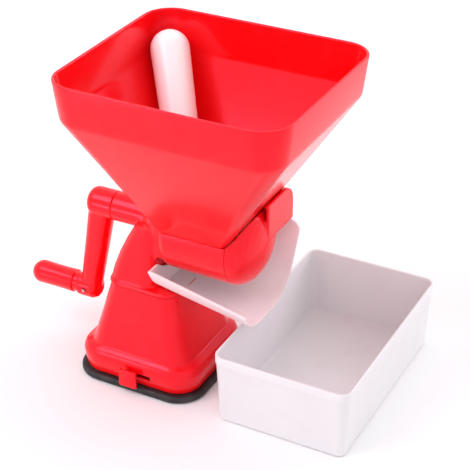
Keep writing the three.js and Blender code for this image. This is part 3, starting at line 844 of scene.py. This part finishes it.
@dataclass
class SuctionFoot(Assembly):
    """Rubber pad, draw stud and the lever that works them."""

    corner: float = 28
    round: float = 2.4
    lip: float = 9
    dish: float = 4
    groove: float = 0.8
    steps: int = 14

    def pad(self) -> bpy.types.Object:
        """Returns the pad: a round-edged mat with a dished underside and one groove in its lip."""
        box = Box.of("suction_pad")
        full = Level(0, box.size.x, box.size.y, self.corner, box.centre.x, box.centre.y)
        top = box.high.z
        rings = [full.grown(-self.lip - 3, self.dish).ring(self.steps)]
        rings.append(full.grown(-self.lip, self.dish).ring(self.steps))
        rings.append(full.grown(-self.lip + 0.6, 0.4).ring(self.steps))
        rings.append(full.grown(-self.lip + 1.2, 0).ring(self.steps))
        for along, drop in ((0.45, 0), (0.5, self.groove), (0.6, self.groove), (0.65, 0)):
            rings.append(full.grown(-self.lip * (1 - along), drop).ring(self.steps))
        for turn, height in ((0, self.round), (1, top - self.round)):
            for angle, up in arc(self.round, -90 + 90 * turn, 90 * turn, 5, 0, height):
                rings.append(full.grown(angle - self.round, up).ring(self.steps))
        rings.append(full.grown(-self.round - 2, top).ring(self.steps))
        return mesh_object("foot_pad", *skin(rings, closed=False))

    def build(self) -> None:
        """Builds the foot."""
        self.dress(self.pad(), RUBBER, Body.STAND, Slot.RUBBER, "suction_pad")
        lever = soft_copy("lever", "suction_lever", 0.6, 6, 0.6)
        self.dress(lever, RED, Body.LEVER, Slot.RED, "suction_lever")
        self.keep("draw_stud", TURNED)


@dataclass
class Base(Assembly):
    """Skirt and column, one thin-walled moulding."""

    wall: float = 2.8
    belly: float = 26
    shoulder: float = 35
    corner: float = 25
    foot_width: float = 102
    foot_depth: float = 103
    foot_corner: float = 20
    top_width: float = 69
    top_depth: float = 77
    top_corner: float = 14
    reach: float = 2.2
    steps: int = 14

    def levels(self) -> list[Level]:
        """Returns the outer skin's levels."""
        box = Box.of("base_shell")
        w, d = box.size.x, box.size.y
        bottom, top = box.low.z, box.high.z
        return [
            Level(bottom, w - 6, d - 6, self.corner - 2),
            Level(bottom + 1, w - 4.6, d - 4.6, self.corner - 1.5),
            Level(bottom + 0.6 * (self.belly - bottom), w - 0.8, d - 0.8, self.corner),
            Level(self.belly, w, d, self.corner),
            Level(self.belly + 0.6 * (self.shoulder - self.belly), w - 4, d - 3.4, self.corner - 1),
            Level(self.shoulder, self.foot_width + 1, self.foot_depth + 1, self.foot_corner),
            Level(top, self.top_width, self.top_depth, self.top_corner),
        ]

    def shell(self) -> bpy.types.Object:
        """Returns the moulding with the lever's slot cut in its front."""
        skin_levels = eased(self.levels(), self.reach, 5)
        outer = [level.ring(self.steps) for level in skin_levels]
        inner = [level.grown(-self.wall).ring(self.steps) for level in reversed(skin_levels)]
        shell = mesh_object("base_moulding", *skin(outer + inner, closed=True))
        lever = Box.of("suction_lever")
        stud = Box.of("draw_stud")
        low, high = lever.centre.z - 1.0, lever.centre.z + 3.8
        slot = Level(low, 27, 40, 2.2, stud.centre.x + 6.4, lever.low.y + 16)
        cutter = mesh_object("slot", *skin([slot.ring(6), slot.grown(0, high).ring(6)], False))
        cut_away(shell, cutter)
        cut_away(shell, Chute().room(0.5))
        shade(shell, 30)
        return shell

    def build(self) -> None:
        """Builds the base."""
        self.dress(self.shell(), RED, Body.STAND, Slot.RED, "base_shell")


@dataclass
class Housing(Assembly):
    """Flange, neck, shaft tube, drum and hood, with the screws that hold it down."""

    voxel: float = 0.8
    rounds: int = 12
    crisp: float = 0.12
    seat_height: float = 161

    def softness(self, place: Vector) -> float:
        """Returns the rounding at a place: little where the hopper, cap and crank fit closely."""
        box = Box.of("housing")
        near_cap = place.x > box.high.x - 3
        near_hopper = place.z > self.seat_height
        near_crank = place.x < box.low.x + 2
        return self.crisp if near_cap or near_hopper or near_crank else 1.0

    def build(self) -> None:
        """Builds the housing."""
        body = soft_copy(
            "housing_moulding", "housing", self.voxel, self.rounds, 0.5, self.softness
        )
        cut_away(body, Chute().room(0.4))
        shade(body, 60)
        self.dress(body, RED, Body.STAND, Slot.RED, "housing")
        names = [f"housing_screw_{i}" for i in range(1, 5)]
        fixings = screws("housing_screws", names, Turn.UPRIGHT, 2.6)
        self.dress(fixings, TURNED, Body.STAND, Slot.STEEL, *names)
        self.keep("shaft_bush", INNER)
        self.keep("shaft_seal", RUBBER)


@dataclass
class Drum(Assembly):
    """What sits in the drum: strainer, paddle rotor and shaft, and the cap that closes it."""

    rows: int = 40
    columns: int = 24
    open_share: float = 0.56
    sheet: float = 0.8
    blades: int = 4
    twist: float = math.radians(50)
    blade: float = 3.4
    hub: float = 9.5

    def softness(self, place: Vector) -> float:
        """Returns the rounding of the cap at a place: little where it meets drum and hopper."""
        near_drum = place.x < Box.of("housing").high.x + 3
        near_hopper = place.x < Box.of("hopper").low.x or (place.z > 161 and place.x < 102)
        return 0.12 if near_drum or near_hopper else 1.0

    def strainer(self) -> bpy.types.Object:
        """Returns the perforated half shell."""
        box = Box.of("strainer")
        axis = (Box.of("drive_shaft").centre.z) * MM
        r = Recipe("strainer_recipe")
        length = r.size("Length", box.size.x * MM)
        radius = r.size("Radius", (box.size.y / 2 - self.sheet) * MM)
        rows = r.size("Rows", self.rows)
        columns = r.size("Columns", self.columns)
        opening = r.size("Open Share", self.open_share)
        thickness = r.size("Thickness", self.sheet * MM)
        start = r.size("First Angle", math.radians(-176))
        sweep = r.size("Sweep", math.radians(172))
        grid = r.add(
            "GeometryNodeMeshGrid",
            Size_X=1.0,
            Size_Y=1.0,
            Vertices_X=r.sum("ADD", columns, 1.0),
            Vertices_Y=r.sum("ADD", rows, 1.0),
        )
        inset = r.add(
            "GeometryNodeExtrudeMesh", {"mode": "FACES"}, Mesh=grid.outputs[0], Offset_Scale=0.0
        )
        shrunk = r.add(
            "GeometryNodeScaleElements",
            Geometry=inset.outputs["Mesh"],
            Selection=inset.outputs["Top"],
            Scale=opening,
        )
        pierced = r.add(
            "GeometryNodeDeleteGeometry",
            {"domain": "FACE"},
            Geometry=shrunk.outputs[0],
            Selection=inset.outputs["Top"],
        )
        merged = r.add("GeometryNodeMergeByDistance", Geometry=pierced.outputs[0], Distance=1e-5)
        smooth = r.add("GeometryNodeSubdivisionSurface", Mesh=merged.outputs[0], Level=1)
        spot = r.add("GeometryNodeInputPosition").outputs[0]
        parts = r.tree.nodes.new("ShaderNodeSeparateXYZ")
        r.tree.links.new(spot, parts.inputs[0])
        angle = r.sum("MULTIPLY_ADD", r.sum("ADD", parts.outputs[1], 0.5), sweep, start)
        bent = r.vector(
            r.sum("MULTIPLY_ADD", parts.outputs[0], length, box.centre.x * MM),
            r.sum("MULTIPLY", r.sum("COSINE", angle, 0.0), radius),
            r.sum("MULTIPLY_ADD", r.sum("SINE", angle, 0.0), radius, axis),
        )
        rolled = r.add("GeometryNodeSetPosition", Geometry=smooth.outputs[0], Position=bent)
        outward = r.add("GeometryNodeFlipFaces", Mesh=rolled.outputs[0])
        thick = r.add(
            "GeometryNodeExtrudeMesh",
            {"mode": "FACES"},
            Mesh=outward.outputs[0],
            Offset_Scale=thickness,
            Individual=False,
        )
        both = r.join(thick.outputs["Mesh"], rolled.outputs[0])
        closed = r.add("GeometryNodeMergeByDistance", Geometry=both, Distance=2e-6)
        made = r.run(closed.outputs[0], seed_points("strainer_sheet", [Vector()]), SHEET)
        bm = bmesh.new()
        bm.from_mesh(made.data)
        bmesh.ops.recalc_face_normals(bm, faces=bm.faces)
        bm.to_mesh(made.data)
        bm.free()
        shade(made, 40)
        return made

    def rotor(self) -> bpy.types.Object:
        """Returns the hub with its twisted paddles."""
        box = Box.of("paddle_rotor")
        axis = Box.of("drive_shaft").centre
        reach = box.size.y / 2
        r = Recipe("rotor_recipe")
        span = r.size("Blade Length", (box.size.x - 4) * MM)
        outer = r.size("Blade Reach", reach * MM)
        core = r.size("Hub Radius", self.hub * MM)
        thick = r.size("Blade Thickness", self.blade * MM)
        count = r.size("Blades", self.blades)
        twist = r.size("Twist", self.twist)
        tall = r.sum("SUBTRACT", outer, r.sum("MULTIPLY", core, 0.7))
        slab = r.add(
            "GeometryNodeMeshCube",
            Size=r.vector(span, thick, tall),
            Vertices_X=28,
            Vertices_Y=4,
            Vertices_Z=8,
        )
        lifted = r.add(
            "GeometryNodeTransform",
            Geometry=slab.outputs[0],
            Translation=r.vector(0.0, 0.0, r.sum("SUBTRACT", outer, r.sum("MULTIPLY", tall, 0.5))),
        )
        line = r.add("GeometryNodeMeshLine", Count=count, Offset=(0, 0, 0))
        number = r.add("GeometryNodeInputIndex").outputs[0]
        step = r.sum("DIVIDE", 2 * math.pi, count)
        fan = r.add(
            "GeometryNodeInstanceOnPoints",
            Points=line.outputs[0],
            Instance=lifted.outputs[0],
            Rotation=r.vector(r.sum("MULTIPLY", number, step), 0.0, 0.0),
        )
        real = r.add("GeometryNodeRealizeInstances", Geometry=fan.outputs[0])
        spot = r.add("GeometryNodeInputPosition").outputs[0]
        parts = r.tree.nodes.new("ShaderNodeSeparateXYZ")
        r.tree.links.new(spot, parts.inputs[0])
        share = r.sum("ADD", r.sum("DIVIDE", parts.outputs[0], span), 0.5)
        turn = r.add(
            "ShaderNodeVectorRotate",
            {"rotation_type": "X_AXIS"},
            Vector=spot,
            Angle=r.sum("MULTIPLY_ADD", share, twist, 0.0),
        )
        swept = r.add("GeometryNodeSetPosition", Geometry=real.outputs[0], Position=turn.outputs[0])
        hub = r.add(
            "GeometryNodeMeshCylinder",
            {"fill_type": "NGON"},
            Vertices=48,
            Radius=core,
            Depth=r.sum("ADD", span, 4 * MM),
        )
        laid = r.add("GeometryNodeTransform", Geometry=hub.outputs[0], Rotation=(0, math.pi / 2, 0))
        whole = r.add(
            "GeometryNodeTransform",
            Geometry=r.join(swept.outputs[0], laid.outputs[0]),
            Translation=tuple(Vector((box.centre.x, axis.y, axis.z)) * MM),
        )
        made = r.run(whole.outputs[0], seed_points("paddles", [Vector()]), INNER)
        shade(made, 40)
        return made

    def build(self) -> None:
        """Builds what the drum holds."""
        self.dress(self.strainer(), SHEET, Body.STAND, Slot.STEEL, "strainer")
        self.dress(self.rotor(), INNER, Body.CRANK, Slot.INNER, "paddle_rotor")
        cap = soft_copy("drum_cap", "end_cap", 0.6, 12, 0.5, self.softness)
        self.dress(cap, RED, Body.CAP, Slot.RED, "end_cap")
        self.keep("drive_shaft", TURNED)
        self.keep("end_bush", INNER)


@dataclass
class Hopper(Assembly):
    """Rectangular funnel with an upright band, and the pusher that stands in it."""

    wall: float = 2.8
    band: float = 36.8
    band_inset: float = 4.2
    corner: float = 28
    foot: float = 5
    foot_width: float = 68.5
    foot_depth: float = 80
    foot_corner: float = 7
    lip_width: float = 60.6
    lip_depth: float = 75.2
    lip_wall: float = 1.7
    steps: int = 16
    rod_top: float = 18
    rod_foot: float = 15.4
    rod_length: float = 115.4
    rod_lean: Point = (-0.428, 0.535, 0.728)

    def funnel(self) -> bpy.types.Object:
        """Returns the funnel with its rounded rim and the lip under its foot."""
        box = Box.of("hopper")
        drum = Box.of("strainer")
        x, y = box.centre.x, box.centre.y
        foot_z = box.low.z + self.foot
        crease = box.high.z - self.band
        throat_x = drum.centre.x + 0.9
        rim = Level(box.high.z - self.wall / 2, box.size.x, box.size.y, self.corner, x, y)
        fold = rim.grown(-self.band_inset, crease)
        foot = Level(foot_z, self.foot_width, self.foot_depth, self.foot_corner, throat_x, y)
        lip = Level(box.low.z, self.lip_width, self.lip_depth, 4, throat_x, y)
        outer = [
            lip.grown(-0.4),
            lip.grown(0, lip.z + 0.5),
            lip.grown(0, foot_z - 0.2),
            foot.grown(-0.5),
            foot.grown(0, foot_z + 0.6),
        ]
        outer += eased([foot.grown(0, foot_z + 0.8), fold, rim], 3.2, 6)[1:]
        half = self.wall / 2
        for along, up in arc(half, 0, 180, 8, 0, 0):
            outer.append(rim.grown(along - half, rim.z + up))
        inside = eased(
            [rim.grown(-self.wall), fold.grown(-self.wall), foot.grown(-self.wall, foot_z + 1)],
            3.2,
            6,
        )
        lip_in = lip.grown(-self.lip_wall)
        inside += [lip_in.grown(0, foot_z), lip_in.grown(0, lip.z + 0.5), lip_in.grown(0.4, lip.z)]
        rings = [level.ring(self.steps) for level in outer + inside]
        funnel = mesh_object("funnel", *skin(rings, closed=True))
        shade(funnel, 40)
        return funnel

    def pusher(self) -> bpy.types.Object:
        """Returns the round-ended rod, leaning as it stands in the funnel."""
        box = Box.of("pusher")
        lean = Vector(self.rod_lean).normalized()
        top = Vector((box.low.x, box.high.y, box.high.z)) + self.rod_top * Vector((1, -1, -1))
        profile = [(0, 0), (0, self.rod_foot - 2.5)]
        profile += arc(2.0, 180, 90, 5, 2.0, self.rod_foot - 2.0)
        profile += arc(self.rod_top, 90, 0, 18, self.rod_length, 0)
        profile[-1] = (self.rod_length + self.rod_top, 0)
        rod = turned("pusher_rod", profile, Turn.UPRIGHT, Vector())
        turn = Vector((0, 0, 1)).rotation_difference(lean).to_matrix().to_4x4()
        place = Matrix.Translation((top - lean * self.rod_length) * MM)
        rod.data.transform(place @ turn)
        return rod

    def build(self) -> None:
        """Builds the funnel and the pusher."""
        self.dress(self.funnel(), RED, Body.FUNNEL, Slot.RED, "hopper")
        self.dress(self.pusher(), PUSHER_WHITE, Body.PUSHER, Slot.WHITE, "pusher")


@dataclass
class Crank(Assembly):
    """Arm with its screw, and the free-turning grip."""

    neck: float = 9.6
    neck_length: float = 6
    bore: float = 3.9
    bore_depth: float = 46
    steps: int = 14

    def grip(self) -> bpy.types.Object:
        """Returns the grip: round outer end, a slight barrel shape and a necked inner end."""
        box = Box.of("crank_grip")
        radius = box.size.z / 2
        start, end = box.low.x, box.high.x
        shoulder = end - self.neck_length
        barrel = [
            (start + radius + (shoulder - start - radius) * i / 8, radius - 0.35 * math.sin(math.pi * i / 8))
            for i in range(1, 8)
        ]
        profile = arc(radius, 180, 90, self.steps, start + radius, 0)
        profile[0] = (start, 0)
        profile += barrel
        profile += [(shoulder - 0.6, radius), (shoulder, radius - 0.4), (shoulder + 1, self.neck)]
        profile += [(end - 0.4, self.neck), (end, self.neck - 0.4), (end, self.bore)]
        profile += [(end - self.bore_depth, self.bore), (end - self.bore_depth, 0)]
        centre = Vector((0, box.centre.y, box.centre.z))
        return turned("turning_grip", profile, Turn.ALONG_X, centre)

    def build(self) -> None:
        """Builds the crank."""
        arm = soft_copy("arm", "crank_arm", 0.6, 10, 0.6)
        self.dress(arm, RED, Body.CRANK, Slot.RED, "crank_arm")
        fixing = screws("arm_screw", ["crank_screw"], Turn.ALONG_X, 2.6)
        self.dress(fixing, TURNED, Body.CRANK, Slot.STEEL, "crank_screw")
        self.dress(self.grip(), RED, Body.GRIP, Slot.RED, "crank_grip")
        self.keep("grip_spindle", TURNED)
        self.keep("retaining_pin", TURNED)


@dataclass
class Chute(Assembly):
    """Scoop under the drum: low curved front, high rear wall and a slanted mouth."""

    wall: float = 2.2
    rise: float = 28
    bottom: float = 99
    mouth_lower: float = 107
    start_power: float = 3.4
    mouth_power: float = 2.4
    start_turn: float = 47
    mouth_turn: float = 27
    corner: float = 12
    drum_radius: float = 42
    stations: int = 26

    def outline(self, share: float, grow: float = 0) -> list[tuple[float, float]]:
        """Returns the section at a share of the length, from the front edge to the rear top.

        Args:
            share: share of the length, from the closed end.
            grow: distance by which the section is moved outwards, in millimetres.

        Returns:
            Places along Y and Z, in millimetres.
        """
        box = Box.of("chute")
        low = self.bottom + (box.low.z - self.bottom) * share - grow
        turn = self.start_turn + (self.mouth_turn - self.start_turn) * share + grow
        power = self.start_power + (self.mouth_power - self.start_power) * share
        edge = box.low.y - grow
        front = [(edge * (1 - i / 16), low + self.rise * (1 - i / 16) ** power) for i in range(16)]
        rear = box.high.y + grow
        bend = arc(turn, 270, 360, 12, rear - turn, low + turn)
        top = box.high.z
        climb = [(rear, low + turn + (top - low - turn) * i / 20) for i in range(1, 21)]
        return front + bend + climb

    def place(self, share: float, height: float) -> float:
        """Returns the place along X at a share of the length and a height."""
        box = Box.of("chute")
        rise = (height - box.low.z) / (box.high.z - box.low.z)
        high = box.high.x + 1.2
        mouth = self.mouth_lower + (high - self.mouth_lower) * max(rise, 0)
        over = height - (box.high.z - self.corner)
        if over > 0:
            rounded = high - 1.4 - self.corner + math.sqrt(max(self.corner**2 - over**2, 0))
            mouth = min(mouth, rounded)
        return box.low.x + (mouth - box.low.x) * share

    def room(self, grow: float) -> bpy.types.Object:
        """Returns the space that the scoop takes, moved outwards by a distance in millimetres."""
        rings = []
        for i in range(9):
            share = i / 8
            shift = grow if i == 0 else 0
            rings.append(
                [
                    Vector((self.place(share, z) - shift, y, z))
                    for y, z in self.outline(share, grow)
                ]
            )
        return mesh_object("scoop_room", *skin(rings, closed=False))

    def scoop(self) -> bpy.types.Object:
        """Returns the scoop with its end wall, as one sheet given a thickness."""
        box = Box.of("chute")
        axis = Box.of("drive_shaft").centre.z
        first = self.outline(0)
        grid = []
        for step in range(5):
            row = []
            for y, z in first:
                top = self.bottom + self.rise
                if abs(y) < self.drum_radius:
                    top = min(top, axis - math.sqrt(self.drum_radius**2 - y**2))
                start = max(top, z)
                row.append(Vector((box.low.x, y, start + (z - start) * step / 4)))
            grid.append(row)
        for i in range(1, self.stations + 1):
            share = i / self.stations
            grid.append([Vector((self.place(share, z), y, z)) for y, z in self.outline(share)])
        count = len(first)
        points = [p for row in grid for p in row]
        faces = [
            [r * count + i, r * count + i + 1, (r + 1) * count + i + 1, (r + 1) * count + i]
            for r in range(len(grid) - 1)
            for i in range(count - 1)
        ]
        scoop = mesh_object("scoop_moulding", points, faces, merge=0.05)
        self.turn_out(scoop)
        solid = scoop.modifiers.new("wall", "SOLIDIFY")
        solid.thickness = self.wall * MM
        solid.offset = -1
        solid.use_even_offset = False
        edge = scoop.modifiers.new("edge", "BEVEL")
        edge.width = 0.5 * MM
        edge.segments = 3
        edge.limit_method = "ANGLE"
        edge.angle_limit = math.radians(50)
        settle(scoop)
        shade(scoop, 40)
        return scoop

    def turn_out(self, sheet: bpy.types.Object) -> None:
        """Turns an open sheet's faces so that the bottom looks down."""
        bm = bmesh.new()
        bm.from_mesh(sheet.data)
        lowest = min(bm.faces, key=lambda f: f.calc_center_median().z)
        if lowest.normal.z > 0:
            bmesh.ops.reverse_faces(bm, faces=bm.faces)
        bm.to_mesh(sheet.data)
        bm.free()

    def build(self) -> None:
        """Builds the chute."""
        self.dress(self.scoop(), CHUTE_WHITE, Body.SCOOP, Slot.WHITE, "chute")


@dataclass
class Container(Assembly):
    """Loose tray with drawn-in walls and a thicker band under its rim."""

    wall: float = 2.6
    floor: float = 2.8
    draft: float = 4
    corner: float = 11
    rim: float = 9
    rim_proud: float = 0.9
    steps: int = 14

    def tray(self) -> bpy.types.Object:
        """Returns the tray with rounded edges, inside and out."""
        box = Box.of("container")
        top = Level(box.high.z, box.size.x, box.size.y, self.corner, box.centre.x, box.centre.y)
        foot = top.grown(-self.draft, 0)
        step = box.high.z - self.rim
        half = self.wall / 2
        outer = [foot.grown(-6), foot.grown(-2.2)]
        outer += [foot.grown(a - 2.2, u) for a, u in arc(2.2, -90, 0, 5, 0, 2.2)]
        outer += [top.grown(-self.rim_proud, step - 1.1), top.grown(-self.rim_proud * 0.9, step - 0.8)]
        outer += [top.grown(-0.1, step + 0.4), top.grown(0, step + 0.9)]
        outer += [top.grown(a - half, box.high.z - half + u) for a, u in arc(half, 0, 180, 6, 0, 0)]
        mouth = top.grown(-self.wall - self.rim_proud * 0.6, step - 2)
        sole = foot.grown(-self.wall - 0.4, self.floor)
        inner = [mouth]
        inner += [sole.grown(a - 2.5, 2.5 + self.floor + u) for a, u in arc(2.5, 0, -90, 5, 0, 0)]
        inner += [sole.grown(-8)]
        rings = [level.ring(self.steps) for level in outer + inner]
        return mesh_object("tray", *skin(rings, closed=False))

    def build(self) -> None:
        """Builds the container."""
        self.dress(self.tray(), WHITE, Body.TRAY, Slot.WHITE, "container")


# ---------------------------------------------------------------- studio


@dataclass
class Studio:
    """Floor, light and camera."""

    azimuth: float = 27.59
    elevation: float = 30.70
    lens: float = 108.55
    eye: Point = (0.5786, -0.9564, 0.8001)

    def floor(self) -> None:
        """Lays a plain pale floor."""
        mesh = bpy.data.meshes.new("floor")
        mesh.from_pydata([(-6, -6, 0), (6, -6, 0), (6, 6, 0), (-6, 6, 0)], [], [(0, 1, 2, 3)])
        mesh.transform(Matrix.Translation((0, 0, -0.0003)))
        obj = bpy.data.objects.new("floor", mesh)
        bpy.context.scene.collection.objects.link(obj)
        g = Graph("floor_paper")
        tone = g.blend(g.spread(g.noise(3, 2), 0, 1), (0.93, 0.93, 0.93), (0.91, 0.91, 0.915))
        g.link(tone, g.shader.inputs["Base Color"])
        g.shader.inputs["Roughness"].default_value = 0.9
        g.shader.inputs["Specular IOR Level"].default_value = 0.1
        mesh.materials.append(g.material)

    def lamp(self, name: str, place: Point, aim: Point, size: float, power: float, colour: Colour) -> None:
        """Hangs a soft square lamp.

        Args:
            name: the lamp's name.
            place: where it hangs, in metres.
            aim: the point it faces.
            size: side of the square, in metres.
            power: power in watts.
            colour: colour of the light.
        """
        data = bpy.data.lights.new(name, "AREA")
        data.shape = "SQUARE"
        data.size = size
        data.energy = power
        data.color = colour
        obj = bpy.data.objects.new(name, data)
        obj.location = place
        obj.rotation_euler = (Vector(aim) - Vector(place)).to_track_quat("-Z", "Y").to_euler()
        bpy.context.scene.collection.objects.link(obj)

    def light(self) -> None:
        """Sets a white surround and three soft lamps."""
        world = bpy.data.worlds.new("surround")
        world.use_nodes = True
        back = world.node_tree.nodes["Background"]
        back.inputs["Color"].default_value = (1, 1, 1, 1)
        back.inputs["Strength"].default_value = 1.0
        bpy.context.scene.world = world
        bpy.context.scene.view_settings.view_transform = "Standard"
        self.lamp("key", (-0.66, -0.80, 1.33), (0, 0, 0.1), 0.75, 8, (1, 0.86, 1))
        self.lamp("side", (1.3, 1.5, 0.9), (0.05, 0, 0.2), 1.0, 10, (1, 0.86, 1))
        self.lamp("low", (-0.5, -0.95, 0.12), (0, -0.1, 0.25), 0.22, 0.7, (1, 0.86, 1))

    def camera(self) -> None:
        """Sets the camera."""
        data = bpy.data.cameras.new("camera")
        data.lens = self.lens
        data.sensor_width = 36
        data.clip_start = 0.01
        obj = bpy.data.objects.new("camera", data)
        obj.location = self.eye
        obj.rotation_euler = Euler((math.radians(90 - self.elevation), 0, math.radians(self.azimuth)))
        bpy.context.scene.collection.objects.link(obj)
        bpy.context.scene.camera = obj

    def build(self) -> None:
        """Builds the studio."""
        self.floor()
        self.light()
        self.camera()


def main() -> None:
    """Builds the whole mill."""
    logging.basicConfig(level=logging.INFO, format="%(name)s %(message)s")
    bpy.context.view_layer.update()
    Studio().build()
    for assembly in (
        SuctionFoot(),
        Base(),
        Housing(),
        Drum(),
        Hopper(),
        Crank(),
        Chute(),
        Container(),
    ):
        log.info("building %s", type(assembly).__name__)
        assembly.build()


if __name__ == "__main__":
    main()
